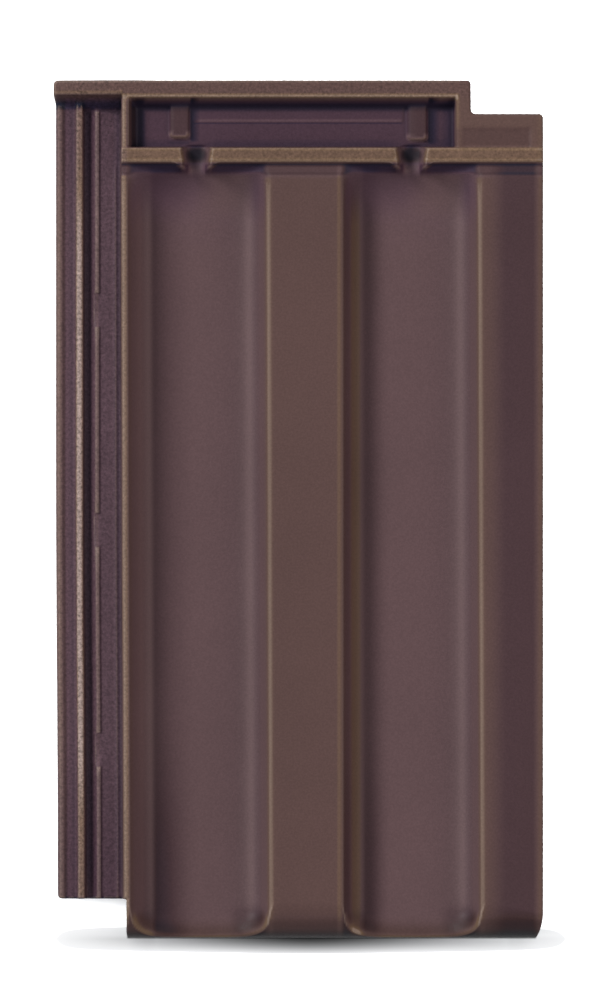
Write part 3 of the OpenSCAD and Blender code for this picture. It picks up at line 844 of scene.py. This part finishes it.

    # foot: grainy pale ends of the troughs, darker floors just before the nose, painted shade on the right
    # fillets near the foot and on the lower nose
    over = body_face(x, y) - nose_line(y)
    near_nose = nose_share(y)
    end = (1 - ramp(-over, 1.5, 8.0)) * (1 - ramp(over, 0.5, 2.0)) * ramp(-z, 1.0, 5.0) * near_nose
    tone += 1.05 * end * in_body
    for c in TROUGHS:
        tone -= 0.7 * between(drawn - c, 12.0, 22.0, 32.0, 38.0) * ramp(FOOT_Y + 20.0 - y, 0.0, 10.0)
    tone -= 0.35 * between(-over, 2.0, 5.0, 10.0, 16.0) * ramp(-z, 1.0, 5.0) * in_body * near_nose
    lower_nose = 0.5 * ramp(FOOT_Y + 6.5 - y, 0.0, 5.0) + 0.35 * ramp(FOOT_Y + 13.0 - y, 0.0, 5.0)
    tone -= lower_nose * ramp(over, 0.6, 2.2)
    return np.clip(tone, -2.0, 1.5)


def wear_and_highlight(plan, near):
    """How pale the edges are: strong wear on rims and ribs and a painted highlight on the lit edges of the
    troughs, weak in the head lock and nose.
    """
    x, y = plan.T[:2]
    u = RIB_Y - y
    past_rib = u - RIB_L
    drawn = warped(x, y)
    share = np.full(len(x), 0.65)
    for c in TROUGHS:
        share += 0.8 * bell(drawn, c + TROUGH_HALF - 1.2, 2.0) * ramp(past_rib, BAND_L, BAND_L + 6)
    right_of_lip = ramp(x, BODY_X + 3.0, BODY_X + 5.0)
    inside = between(y, RIB_Y + 0.6, RIB_Y + 1.6, CHANNEL_Y - 2.0, CHANNEL_Y - 1.0)
    share *= 1 - 0.75 * inside * right_of_lip
    share *= 1 - 0.85 * between(past_rib, 0.8, 2.0, BAND_L + 2.5, BAND_L + 5.0) * (x > BODY_X - 2)
    share *= 1 - 0.7 * ramp(x, CHANNEL_RIGHT_X + 1.0, CHANNEL_RIGHT_X + 3.0) * (y > RIB_FOOT_Y)
    share *= 1 - 0.75 * ramp(x, RIGHT_X - 4.0, RIGHT_X - 2.0)
    share *= 1 - 0.7 * between(u, -2.4, -1.2, -0.3, 0.4) * right_of_lip
    for c in NOTCHES:
        share *= 1 - 0.9 * (1 - ramp(np.abs(x - c), 6.0, 8.0)) * between(u, -4.0, -3.0, RIB_L, RIB_L + 2.0)
    share *= 1 - ramp(FOOT_Y + 9.0 - y, 0.0, 5.0)
    return near * share


def sand(plan):
    """How sandy the slip looks: most on the head rim, less on the cross rib and in the locks."""
    x, y = plan.T[:2]
    u = RIB_Y - y
    t = HEAD_Y - y
    lock = warped(x, y) - LOCK_X
    amount = 0.03 + 0.36 * (1 - ramp(x, BODY_X - 1.0, BODY_X + 0.5))
    amount += 0.25 * between(lock, 10.5, 11.5, 15.0, 16.0)
    amount += 0.3 * between(lock - LOCK_W, -1, 0, 2.5, 4)
    amount += 0.08 * ramp(y, RIB_Y - 0.5, RIB_Y + 0.5)
    amount += 0.3 * between(u, -0.5, 0.3, RIB_L - 0.3, RIB_L + 0.8) * ramp(x, BODY_X - 0.5, BODY_X + 0.5)
    for c in NOTCHES:
        amount *= ramp(np.abs(x - c), NOTCH_FLOOR_HALF, NOTCH_TOP_HALF)
    return np.maximum(amount, 0.42 * (1 - ramp(t, RIM_L - 0.5, RIM_L + 0.8)))


def cast(plan):
    """Share of a purple tint in side lock, channel and heads of the troughs."""
    x, y, d = plan.T
    z = face_z(x, y, d)
    u = RIB_Y - y
    lock = warped(x, y) - LOCK_X
    in_body = body_share(x)
    amount = 0.2 * between(lock, 4.6, 5.6, 10.4, 11.2)
    amount += 0.2 * between(lock, 15.5, 17.0, LOCK_W - 2.0, LOCK_W - 0.6)
    amount *= ramp(HEAD_Y - y, RIM_L - 1.0, RIM_L + 3.0)
    channel = (1 - lug_top(y, z, -1.2)) * ramp(-z, 2.0, 5.0) * ramp(-u, -0.5, 0.5)
    heads = between(u - RIB_L, 0.0, 1.0, BAND_L + 8, BAND_L + 36) * ramp(-z, 0.4, 3.0)
    amount += (0.2 * channel + 0.22 * heads) * in_body
    return amount


def shadow(plan):
    """Share of the deepest shade: under the rim, beside lugs, in notches and on the lower nose."""
    x, y, d = plan.T
    z = face_z(x, y, d)
    u = RIB_Y - y
    from_left = x - CHANNEL_LEFT_X
    from_right = x - CHANNEL_RIGHT_X
    channel = ramp(from_left, 0.0, 2.0) * (1 - ramp(from_right, -0.6, 0.0))
    channel = channel * ramp(-u, 0.0, 0.6) * ramp(-z, 1.0, 4.0)
    under_rim = between(CHANNEL_Y - y, 1.8, 4.6, 5.8, 8.6)
    amount = 0.62 * under_rim * channel * (1 - 0.7 * lug_top(y, z, -1.2))
    left = between(from_left, -0.5, 2.0, 6.6, 9.4)
    amount = np.maximum(amount, 0.65 * left * channel)
    right = between(from_right, -5.0, -3.0, -1.5, -0.6)
    amount = np.maximum(amount, 0.35 * right * channel)
    for c, end in zip(LUGS, LUG_ENDS):
        beside = between(x - c - LUG_HALF, -0.6, 0.4, 2.0, 3.6) * ramp(y - end, -1.8, 0.6)
        amount = np.maximum(amount, 0.6 * beside * channel)
        below = 1 - ramp(np.abs(x - c) - LUG_HALF, -1.0, 1.5)
        below = below * between(y - end, -2.6, -1.6, -0.9, -0.2)
        amount = np.maximum(amount, 0.2 * below * channel)
    for c in NOTCHES:
        hole = 1 - ramp(np.hypot((x - c) / 6.0, (u - 3.8) / 5.4), 0.4, 1.1)
        amount = np.maximum(amount, 0.75 * hole)
    over = body_face(x, y) - nose_line(y)
    lower_nose = ramp(FOOT_Y + 5.5 - y, 0.0, 4.5) * ramp(over, 0.8, 2.4) * body_share(x)
    return np.maximum(amount, 0.95 * lower_nose)


def brown(plan):
    """Share of the warmer brown on ridges, rims, the cross rib, the nose and the ends of the troughs."""
    x, y, d = plan.T
    z = face_z(x, y, d)
    drawn = warped(x, y)
    past_rib = RIB_Y - y - RIB_L
    amount = ramp(z, -6.0, -0.5) * ramp(drawn, BODY_X + 2.0, BODY_X + 4.5) * (1 - roll_top(x, past_rib))
    amount *= 1 - 0.7 * between(past_rib, 0.4, 1.2, BAND_L, BAND_L + 3)
    over = body_face(x, y) - nose_line(y)
    amount = np.maximum(amount, (1 - ramp(-over, 8.0, 17.0)) * body_share(x) * nose_share(y))
    # warmer brown of the painted highlight on the right trough's left fillet
    strip = between(drawn - EDGE_2_X, 5.0, 7.0, 10.0, 12.5) * ramp(past_rib, 0, 30)
    amount = np.maximum(amount, strip)
    return np.maximum(amount, 1 - ramp(HEAD_Y - y, RIM_L - 0.3, RIM_L + 0.6))


def painted_sheen(plan):
    """Share of the painted highlight along the fillets of the troughs."""
    x, y = plan.T[:2]
    past_band = RIB_Y - y - RIB_L - BAND_L
    drawn = warped(x, y)
    amount = np.zeros(len(x))
    for c in TROUGHS:
        amount += 0.18 * bell(drawn, c + 26.4, 4.6)
    amount += 0.15 * (1 - 0.7 * foot_share(y)) * between(drawn - BODY_X, 6.0, 11.0, 14.5, 18.0)
    return amount * ramp(past_band, 0, 30) * ramp(y - FOOT_Y, 8.0, 26.0)


points, polygons, plan = build_tile()
mesh = bpy.data.meshes.new("roof_tile_fired")
mesh.from_pydata([tuple(p) for p in points], [], polygons)
mesh.validate()
mesh.shade_smooth()
near_relief, wide_relief = relief(plan)
layers = {
    "wear_and_highlight": wear_and_highlight(plan, near_relief),
    "wide_relief": wide_relief,
    "slip_and_painted_light": slip_and_painted_light(plan),
    "sand": sand(plan),
    "cast": cast(plan),
    "painted_sheen": painted_sheen(plan),
    "brown": brown(plan),
    "shadow": shadow(plan),
}
UNDER_SAND = 0.3
for name, values in layers.items():
    layer = mesh.attributes.new(name, "FLOAT", "POINT")
    below_values = np.full(len(values), UNDER_SAND if name == "sand" else 0.0)
    layer.data.foreach_set("value", np.concatenate([values, below_values]).astype(np.float32))
tile = bpy.data.objects.new("roof_tile_fired", mesh)
scene.collection.objects.link(tile)
mesh.set_sharp_from_angle(angle=math.radians(60))
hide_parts("roof_tile")
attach(tile, "root")


def srgb(r, g, b):
    """Linear colour with alpha from 0 to 255 display values."""
    out = []
    for v in (r, g, b):
        v /= 255.0
        out.append(v / 12.92 if v <= 0.04045 else ((v + 0.055) / 1.055) ** 2.4)
    return (*out, 1.0)


BROWN = (0.893, 0.862, 0.74, 1.0)
SHADOW = (0.24, 0.26, 0.3, 1.0)


def engobe():
    """Matte brown engobe on fired clay: purplish in hollows, with painted shade there and under rims and
    ribs, thin and olive-brown on worn edges, with painted highlights on lit edges and fillets, fine grain.
    """
    mat = bpy.data.materials.new("engobe")
    mat.use_nodes = True
    nodes, links = mat.node_tree.nodes, mat.node_tree.links
    nodes.clear()
    out = nodes.new("ShaderNodeOutputMaterial")
    shader = nodes.new("ShaderNodeBsdfPrincipled")
    shader.inputs["Specular IOR Level"].default_value = 0.15
    links.new(shader.outputs["BSDF"], out.inputs["Surface"])
    place = nodes.new("ShaderNodeTexCoord")

    def attribute(name):
        node = nodes.new("ShaderNodeAttribute")
        node.attribute_name = name
        return node.outputs["Fac"]

    def noise(scale, detail, rough):
        node = nodes.new("ShaderNodeTexNoise")
        node.inputs["Scale"].default_value = scale
        node.inputs["Detail"].default_value = detail
        node.inputs["Roughness"].default_value = rough
        links.new(place.outputs["Object"], node.inputs["Vector"])
        return node.outputs["Fac"]

    def band(value, low, high, to_low=0.0, to_high=1.0):
        node = nodes.new("ShaderNodeMapRange")
        node.inputs["From Min"].default_value = low
        node.inputs["From Max"].default_value = high
        node.inputs["To Min"].default_value = to_low
        node.inputs["To Max"].default_value = to_high
        links.new(value, node.inputs["Value"])
        return node.outputs["Result"]

    def mix(fac, a, b):
        node = nodes.new("ShaderNodeMix")
        node.data_type = "RGBA"
        links.new(fac, node.inputs["Factor"])
        for value, socket in ((a, node.inputs["A"]), (b, node.inputs["B"])):
            if isinstance(value, tuple):
                socket.default_value = value
            else:
                links.new(value, socket)
        return node.outputs["Result"]

    def ramp_colour(value, stops):
        node = nodes.new("ShaderNodeValToRGB")
        row = node.color_ramp.elements
        while len(row) < len(stops):
            row.new(0.5)
        for element, (at, rgb) in zip(row, stops):
            element.position = at
            element.color = rgb
        links.new(value, node.inputs["Fac"])
        return node.outputs["Color"]

    def times(a, b):
        node = nodes.new("ShaderNodeMath")
        node.operation = "MULTIPLY"
        links.new(a, node.inputs[0])
        links.new(b, node.inputs[1])
        return node.outputs["Value"]

    def scaled(colour, value, fac=None):
        node = nodes.new("ShaderNodeMix")
        node.data_type = "RGBA"
        node.blend_type = "MULTIPLY"
        node.inputs["Factor"].default_value = 1.0
        links.new(colour, node.inputs["A"])
        if fac is None:
            links.new(value, node.inputs["B"])
        else:
            links.new(fac, node.inputs["Factor"])
            node.inputs["B"].default_value = value
        return node.outputs["Result"]

    broad = noise(14.0, 3.0, 0.55)
    speck = noise(620.0, 3.0, 0.7)
    grain = noise(900.0, 2.0, 0.6)
    darkest_tone, palest_tone = -2.0, 1.5
    # the darkest stops mostly carry painted shade, the palest ones worn edges and painted highlights
    tones = [
        (-2.0, srgb(26, 28, 43)),
        (-1.0, srgb(65, 46, 49)),
        (0.0, srgb(91, 70, 71)),
        (1.0, srgb(114, 92, 77)),
        (1.5, srgb(152, 133, 125)),
    ]
    tone = band(attribute("slip_and_painted_light"), darkest_tone, palest_tone)
    colour = ramp_colour(tone, [((at - darkest_tone) / (palest_tone - darkest_tone), rgb) for at, rgb in tones])
    # painted shade: navy darkening in deep hollows where the wide relief is low
    colour = mix(band(attribute("wide_relief"), -0.35, -0.95, 0.0, 0.5), colour, srgb(30, 29, 43))
    colour = mix(attribute("cast"), colour, srgb(86, 60, 86))
    # painted highlight along the fillets of the troughs
    colour = mix(attribute("painted_sheen"), colour, srgb(146, 120, 117))
    colour = scaled(colour, BROWN, attribute("brown"))
    # pale worn edges, with a painted highlight on the lit edges of the troughs
    colour = mix(band(attribute("wear_and_highlight"), 0.2, 0.9), colour, srgb(137, 117, 104))
    colour = scaled(colour, SHADOW, attribute("shadow"))
    colour = scaled(colour, band(broad, 0.35, 0.65, 0.98, 1.06))
    colour = scaled(colour, band(grain, 0.35, 0.75, 0.98, 1.16))
    speckle = times(band(speck, 0.3, 0.7, -0.85, 0.9), attribute("sand"))
    colour = scaled(colour, band(speckle, -1.0, 1.0, 0.0, 2.0))
    links.new(colour, shader.inputs["Base Color"])
    links.new(band(grain, 0.3, 0.7, 0.46, 0.6), shader.inputs["Roughness"])
    bump = nodes.new("ShaderNodeBump")
    bump.inputs["Strength"].default_value = 0.25
    bump.inputs["Distance"].default_value = 0.0003
    links.new(grain, bump.inputs["Height"])
    links.new(bump.outputs["Normal"], shader.inputs["Normal"])
    return mat


mesh.materials.append(engobe())

# Pale floor; a lamp of its own lights it past white, so that only the shadow at the foot shows, deepened
# there by a painted shadow in the floor's colour
FLOOR_HALF = 6.0
FLOOR_Z = -0.2 * MM
FLOOR_DIFFUSE = 0.12
FLOOR_MIRRORED = 0.2
floor_mesh = bpy.data.meshes.new("floor")
floor_mesh.from_pydata(
    [(i * FLOOR_HALF, j * FLOOR_HALF, 0) for i, j in ((-1, -1), (1, -1), (1, 1), (-1, 1))],
    [],
    [(0, 1, 2, 3)],
)
floor = bpy.data.objects.new("floor", floor_mesh)
floor.location.z = FLOOR_Z
floor_mat = bpy.data.materials.new("floor_white")
floor_mat.use_nodes = True
floor_nodes, floor_links = floor_mat.node_tree.nodes, floor_mat.node_tree.links
floor_shader = floor_nodes["Principled BSDF"]
floor_shader.inputs["Roughness"].default_value = 0.9
floor_shader.inputs["Specular IOR Level"].default_value = 0.0
ray = floor_nodes.new("ShaderNodeLightPath")
pale = floor_nodes.new("ShaderNodeMix")
pale.data_type = "RGBA"
floor_links.new(pale.outputs["Result"], floor_shader.inputs["Base Color"])

# Painted shadow: a soft dark pool in the floor's colour in front of the foot, allowing for the shadow that
# the lamp throws there
POOL_X = 7.0 * MM
POOL_Y = -239.7 * MM
POOL_HALF_W = 131.0 * MM
POOL_CORE = 16.7 * MM
POOL_END_L = 6.4 * MM
POOL_MIDDLE_L = 8.4 * MM
POOL_DARK = 0.77
POOL_FALL = 1.2
POOL_BULGE = 1.1
DISPLAY_POWER = 2.2
WHITE_FROM = 0.985
WHITE_EXTRA = 0.5
LAMP_LEVEL = 3.75
LAMP_BLOCKED = 2.15
BLOCKED_MOST = 1.4
BLOCKED_Y = -240.3 * MM
BLOCKED_FADE = 8.1 * MM
BLOCKED_LEFT = -133.0 * MM
BLOCKED_RIGHT = 170.0 * MM
BLOCKED_RUN = 54.0 * MM
BLOCKED_EASE = 1.7
CONTACT_LEFT = -96.0 * MM
CONTACT_RIGHT = 133.0 * MM
CONTACT_Y = -239.9 * MM
CONTACT_TOP = -228.0 * MM
CONTACT_EASE = 1.0 * MM
CONTACT_DARK = 0.92
floor_place = floor_nodes.new("ShaderNodeTexCoord")
floor_at = floor_nodes.new("ShaderNodeSeparateXYZ")
floor_links.new(floor_place.outputs["Object"], floor_at.inputs["Vector"])
floor_x, floor_y = floor_at.outputs["X"], floor_at.outputs["Y"]


def floor_math(operation, a, b):
    """Math node of the floor; each input is a number or a socket."""
    node = floor_nodes.new("ShaderNodeMath")
    node.operation = operation
    for value, socket in ((a, node.inputs[0]), (b, node.inputs[1])):
        if isinstance(value, float):
            socket.default_value = value
        else:
            floor_links.new(value, socket)
    return node.outputs["Value"]


def less(a, b):
    """The first value of the floor less the second."""
    return floor_math("SUBTRACT", a, b)


def product(*factors):
    """All the given values of the floor multiplied."""
    result = factors[0]
    for factor in factors[1:]:
        result = floor_math("MULTIPLY", result, factor)
    return result


def floor_share(value, low, run):
    """0 at low and 1 a run further on, kept between the two."""
    share = floor_math("DIVIDE", less(value, low), run)
    return floor_math("MINIMUM", floor_math("MAXIMUM", share, 0.0), 1.0)


# how dark the painted shadow is along and across the foot
off_middle = floor_math("ABSOLUTE", less(floor_x, POOL_X), 0.0)
off_middle = floor_math("ADD", floor_math("POWER", off_middle, 2.0), POOL_CORE**2)
off_middle = floor_math("SQRT", off_middle, 0.0)
length_share = less(1.0, floor_share(off_middle, POOL_CORE, POOL_HALF_W))
half_l = floor_math("ADD", product(length_share, POOL_MIDDLE_L - POOL_END_L), POOL_END_L)
off_foot = floor_math("ABSOLUTE", less(floor_y, POOL_Y), 0.0)
off_foot = floor_math("POWER", floor_share(off_foot, 0.0, half_l), POOL_BULGE)
dark = product(floor_math("POWER", length_share, POOL_FALL), POOL_DARK)
display = less(1.0, product(dark, less(1.0, off_foot)))

# how much of the lamp reaches the floor close to the foot
clear_left = floor_share(floor_x, BLOCKED_LEFT, BLOCKED_RUN)
clear_right = floor_share(less(BLOCKED_RIGHT, floor_x), 0.0, BLOCKED_RUN)
blocked = floor_math("POWER", floor_math("MINIMUM", clear_left, clear_right), BLOCKED_EASE)
nearness = floor_math("DIVIDE", less(floor_y, BLOCKED_Y), BLOCKED_FADE)
nearness = floor_math("MINIMUM", floor_math("EXPONENT", nearness, 0.0), BLOCKED_MOST)
lamp_level = less(LAMP_LEVEL, product(blocked, nearness, LAMP_BLOCKED))
shown = floor_math("DIVIDE", floor_math("POWER", display, DISPLAY_POWER), lamp_level)
white = product(floor_share(display, WHITE_FROM, 1.0 - WHITE_FROM), WHITE_EXTRA)
shown = floor_math("ADD", shown, white)

# painted contact shadow: the floor's colour almost black where the foot meets the floor
under_foot = product(
    floor_share(floor_x, CONTACT_LEFT, CONTACT_EASE),
    floor_share(less(CONTACT_RIGHT, floor_x), 0.0, CONTACT_EASE),
    floor_share(floor_y, CONTACT_Y, CONTACT_EASE),
    floor_share(less(CONTACT_TOP, floor_y), 0.0, CONTACT_EASE),
    CONTACT_DARK,
)
shown = product(shown, less(1.0, under_foot))

# the camera sees the floor lit past white, other rays see a darker one
mirrored = floor_math("MAXIMUM", ray.outputs["Is Glossy Ray"], ray.outputs["Is Transmission Ray"])
mirrored = product(mirrored, FLOOR_MIRRORED - FLOOR_DIFFUSE)
floor_links.new(floor_math("MINIMUM", shown, floor_math("ADD", mirrored, FLOOR_DIFFUSE)), pale.inputs["A"])
floor_links.new(shown, pale.inputs["B"])
floor_links.new(ray.outputs["Is Camera Ray"], pale.inputs["Factor"])
floor_mesh.materials.append(floor_mat)
floor_only = bpy.data.collections.new("floor_only")
scene.collection.children.link(floor_only)
floor_only.objects.link(floor)

# Soft studio light: a large key at the upper left, a weaker one at the right and an even surround.
# Key and side light only the tile, and the lamp overhead lights only the floor.
SURROUND_COLOUR = (0.9, 0.98, 1.1, 1)
SURROUND_LEVEL = 0.41
SIDE_COLOUR = (1.0, 0.78, 0.68)
KEY_WATTS = 388.0
SIDE_WATTS = 34.0
OVER_WATTS = 360.0
world = bpy.data.worlds.new("studio")
scene.world = world
world.use_nodes = True
world.node_tree.nodes["Background"].inputs["Color"].default_value = SURROUND_COLOUR
world.node_tree.nodes["Background"].inputs["Strength"].default_value = SURROUND_LEVEL


def area_light(name, place, aim, size, power):
    """Rectangular lamp that points at aim and isn't seen itself."""
    data = bpy.data.lights.new(name, "AREA")
    data.shape = "RECTANGLE"
    data.size = size[0]
    data.size_y = size[1]
    data.energy = power
    lamp = bpy.data.objects.new(name, data)
    scene.collection.objects.link(lamp)
    lamp.location = place
    lamp.rotation_euler = (Vector(aim) - Vector(place)).to_track_quat("-Z", "Y").to_euler()
    lamp.visible_camera = False
    return lamp


KEY_H = 4.0
tile_only = bpy.data.collections.new("tile_only")
scene.collection.children.link(tile_only)
tile_only.objects.link(tile)
key = area_light("key", (-1.05 * KEY_H, 0.85 * KEY_H, KEY_H), (0, 0, 0), (1.8, 1.8), KEY_WATTS)
side = area_light("side", (2.6, -0.4, 2.0), (0, 0, 0), (1.6, 1.6), SIDE_WATTS)
side.data.color = SIDE_COLOUR
over = area_light("over", (0.0, 0.3, 2.4), (0, 0, 0), (5.0, 2.0), OVER_WATTS)
key.light_linking.receiver_collection = tile_only
side.light_linking.receiver_collection = tile_only
over.light_linking.receiver_collection = floor_only

# Camera straight above, with a long lens; the picture is 600 by 1000
PX_PER_MM = 1.8
PICTURE_H = 1000.0
CAMERA_X = 0.94 * MM
CAMERA_Y = 5.2 * MM
CAMERA_H = 10.0
camera_data = bpy.data.cameras.new("camera")
camera = bpy.data.objects.new("camera", camera_data)
scene.collection.objects.link(camera)
camera_data.sensor_fit = "VERTICAL"
camera_data.sensor_height = 24.0
view_h = PICTURE_H / PX_PER_MM * MM
ridge_h = -REST_Z * MM
camera_data.lens = camera_data.sensor_height * (CAMERA_H - ridge_h) / view_h
camera_data.clip_end = 50.0
camera.location = (CAMERA_X, CAMERA_Y, CAMERA_H)
camera.rotation_euler = (0.0, 0.0, 0.0)
scene.camera = camera

scene.view_settings.view_transform = "Standard"
